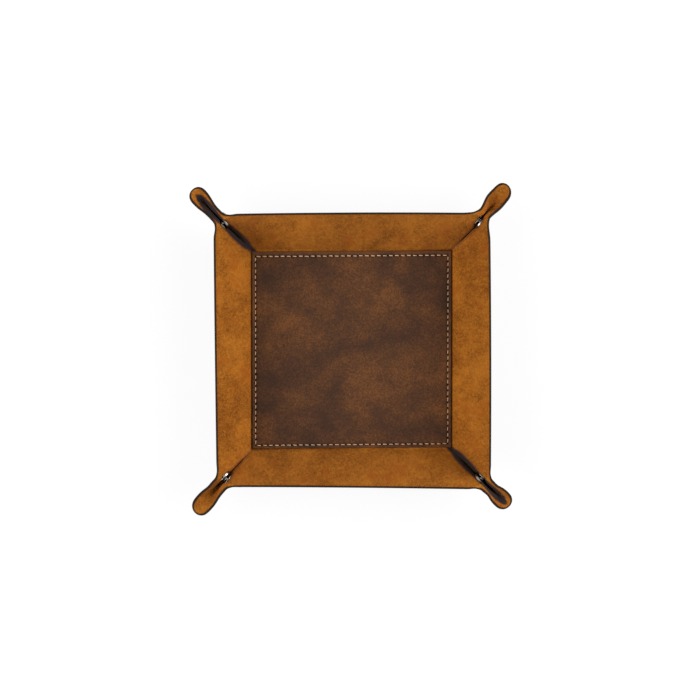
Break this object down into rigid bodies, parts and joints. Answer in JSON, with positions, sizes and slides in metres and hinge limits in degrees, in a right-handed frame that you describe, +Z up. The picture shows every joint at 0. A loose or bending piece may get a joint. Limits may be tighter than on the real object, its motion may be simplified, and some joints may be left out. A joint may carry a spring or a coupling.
{
  "type": "tray",
  "caption": "Square suede-lined tray with a sewn base patch, leaning walls and corners pinched by snap fasteners into outward ears; unsnapped, it folds out nearly flat.",
  "frame": {"origin": "middle of the base's underside, on the table", "axes": "+Z up; the tray's walls face +X (right), +Y (back), -X (left) and -Y (front); seen from above with +Y up the page, as in the picture"},
  "size_m": [0.2174, 0.2174, 0.0426],
  "materials": {
    "suede": "tan suede nap, matt",
    "back_leather": "dark brown smooth back, satin",
    "patch_leather": "mottled dark brown, fine grain, matt",
    "thread": "cream sewing thread",
    "nickel": "bright nickel plate"
  },
  "bodies": {
    "base": {"base_cover": "back_leather", "base_lining": "suede", "base_patch": "patch_leather", "patch_thread": "thread"},
    "right_wall": {"right_wall_lining": "suede", "right_wall_cover": "back_leather"},
    "back_wall": {"back_wall_lining": "suede", "back_wall_cover": "back_leather"},
    "left_wall": {"left_wall_lining": "suede", "left_wall_cover": "back_leather"},
    "front_wall": {"front_wall_lining": "suede", "front_wall_cover": "back_leather"},
    "right_ear_at_back": {"right_ear_at_back_lining": "suede", "right_ear_at_back_cover": "back_leather", "snap_socket_right_back": "nickel", "snap_cap_right_back": "nickel"},
    "right_ear_at_front": {"right_ear_at_front_lining": "suede", "right_ear_at_front_cover": "back_leather", "snap_stud_front_right": "nickel", "snap_post_front_right": "nickel"},
    "back_ear_at_left": {"back_ear_at_left_lining": "suede", "back_ear_at_left_cover": "back_leather", "snap_socket_back_left": "nickel", "snap_cap_back_left": "nickel"},
    "back_ear_at_right": {"back_ear_at_right_lining": "suede", "back_ear_at_right_cover": "back_leather", "snap_stud_right_back": "nickel", "snap_post_right_back": "nickel"},
    "left_ear_at_front": {"left_ear_at_front_lining": "suede", "left_ear_at_front_cover": "back_leather", "snap_socket_left_front": "nickel", "snap_cap_left_front": "nickel"},
    "left_ear_at_back": {"left_ear_at_back_lining": "suede", "left_ear_at_back_cover": "back_leather", "snap_stud_back_left": "nickel", "snap_post_back_left": "nickel"},
    "front_ear_at_right": {"front_ear_at_right_lining": "suede", "front_ear_at_right_cover": "back_leather", "snap_socket_front_right": "nickel", "snap_cap_front_right": "nickel"},
    "front_ear_at_left": {"front_ear_at_left_lining": "suede", "front_ear_at_left_cover": "back_leather", "snap_stud_left_front": "nickel", "snap_post_left_front": "nickel"}
  },
  "joints": [
    {"name": "right_wall_fold", "type": "hinge", "parent": "base", "child": "right_wall", "pos_m": [0.07001, 0, 0], "axis": [0, 1, 0], "range_deg": [0, 56.5]},
    {"name": "back_wall_fold", "type": "hinge", "parent": "base", "child": "back_wall", "pos_m": [0, 0.07001, 0], "axis": [-1, 0, 0], "range_deg": [0, 56.5]},
    {"name": "left_wall_fold", "type": "hinge", "parent": "base", "child": "left_wall", "pos_m": [-0.07001, 0, 0], "axis": [0, -1, 0], "range_deg": [0, 56.5]},
    {"name": "front_wall_fold", "type": "hinge", "parent": "base", "child": "front_wall", "pos_m": [0, -0.07001, 0], "axis": [1, 0, 0], "range_deg": [0, 56.5]},
    {"name": "right_ear_at_back_fold", "type": "hinge", "parent": "right_wall", "child": "right_ear_at_back", "pos_m": [0.08506, 0.08233, 0.03129], "axis": [0.4486, 0.3407, 0.8262], "range_deg": [0, 49]},
    {"name": "right_ear_at_front_fold", "type": "hinge", "parent": "right_wall", "child": "right_ear_at_front", "pos_m": [0.08506, -0.08233, 0.03129], "axis": [-0.4486, 0.3407, -0.8262], "range_deg": [0, 49]},
    {"name": "back_ear_at_left_fold", "type": "hinge", "parent": "back_wall", "child": "back_ear_at_left", "pos_m": [-0.08233, 0.08506, 0.03129], "axis": [-0.3407, 0.4486, 0.8262], "range_deg": [0, 49]},
    {"name": "back_ear_at_right_fold", "type": "hinge", "parent": "back_wall", "child": "back_ear_at_right", "pos_m": [0.08233, 0.08506, 0.03129], "axis": [-0.3407, -0.4486, -0.8262], "range_deg": [0, 49]},
    {"name": "left_ear_at_front_fold", "type": "hinge", "parent": "left_wall", "child": "left_ear_at_front", "pos_m": [-0.08506, -0.08233, 0.03129], "axis": [-0.4486, -0.3407, 0.8262], "range_deg": [0, 49]},
    {"name": "left_ear_at_back_fold", "type": "hinge", "parent": "left_wall", "child": "left_ear_at_back", "pos_m": [-0.08506, 0.08233, 0.03129], "axis": [0.4486, -0.3407, -0.8262], "range_deg": [0, 49]},
    {"name": "front_ear_at_right_fold", "type": "hinge", "parent": "front_wall", "child": "front_ear_at_right", "pos_m": [0.08233, -0.08506, 0.03129], "axis": [0.3407, -0.4486, 0.8262], "range_deg": [0, 49]},
    {"name": "front_ear_at_left_fold", "type": "hinge", "parent": "front_wall", "child": "front_ear_at_left", "pos_m": [-0.08233, -0.08506, 0.03129], "axis": [0.3407, 0.4486, -0.8262], "range_deg": [0, 49]}
  ],
  "couplings": [
    {"joint": "back_wall_fold", "follows": "right_wall_fold", "ratio": 1},
    {"joint": "left_wall_fold", "follows": "right_wall_fold", "ratio": 1},
    {"joint": "front_wall_fold", "follows": "right_wall_fold", "ratio": 1},
    {"joint": "right_ear_at_back_fold", "follows": "right_wall_fold", "ratio": 0.85951},
    {"joint": "right_ear_at_front_fold", "follows": "right_wall_fold", "ratio": 0.85951},
    {"joint": "back_ear_at_left_fold", "follows": "right_wall_fold", "ratio": 0.85951},
    {"joint": "back_ear_at_right_fold", "follows": "right_wall_fold", "ratio": 0.85951},
    {"joint": "left_ear_at_front_fold", "follows": "right_wall_fold", "ratio": 0.85951},
    {"joint": "left_ear_at_back_fold", "follows": "right_wall_fold", "ratio": 0.85951},
    {"joint": "front_ear_at_right_fold", "follows": "right_wall_fold", "ratio": 0.85951},
    {"joint": "front_ear_at_left_fold", "follows": "right_wall_fold", "ratio": 0.85951}
  ]
}
